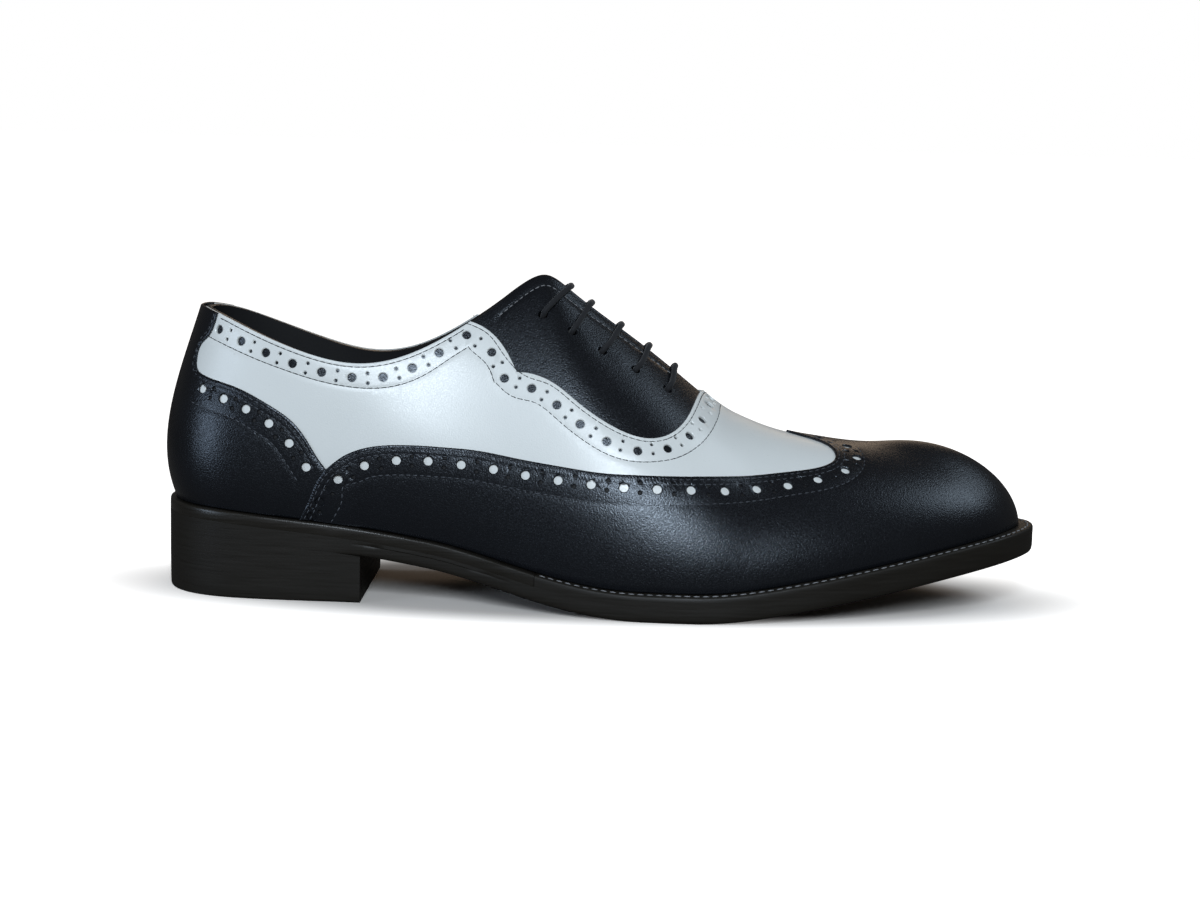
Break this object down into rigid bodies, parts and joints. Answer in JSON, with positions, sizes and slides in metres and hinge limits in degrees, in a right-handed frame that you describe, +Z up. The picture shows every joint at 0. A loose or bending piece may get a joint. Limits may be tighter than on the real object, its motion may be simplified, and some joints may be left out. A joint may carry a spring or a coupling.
{
  "type": "spectator shoe",
  "caption": "Right-foot two-tone wingtip oxford: black wing, counter and facings over white quarters, laced throat, welted sole and stacked heel.",
  "frame": {"origin": "middle of the heel's ground face", "axes": "+X towards the toe, +Y towards the inner side of the foot, +Z up from the floor"},
  "size_m": [0.3099, 0.1072, 0.1129],
  "materials": {
    "black_leather": "satin calf with a fine grain",
    "white_leather": "smooth satin calf",
    "sole": "black edge ink on leather, satin",
    "lining": "matte lining leather",
    "lace": "waxed round cotton cord"
  },
  "bodies": {
    "root": {"outsole": "sole", "welt": "sole", "heel_rand": "sole", "heel": "sole", "insole": "lining", "upper": "black_leather", "quarters_and_vamp": "white_leather", "wing_cap": "black_leather", "counter": "black_leather", "tongue": "black_leather", "lace_bar_1": "lace", "lace_bar_2": "lace", "lace_bar_3": "lace", "lace_bar_4": "lace", "lace_bar_5": "lace"}
  },
  "joints": []
}
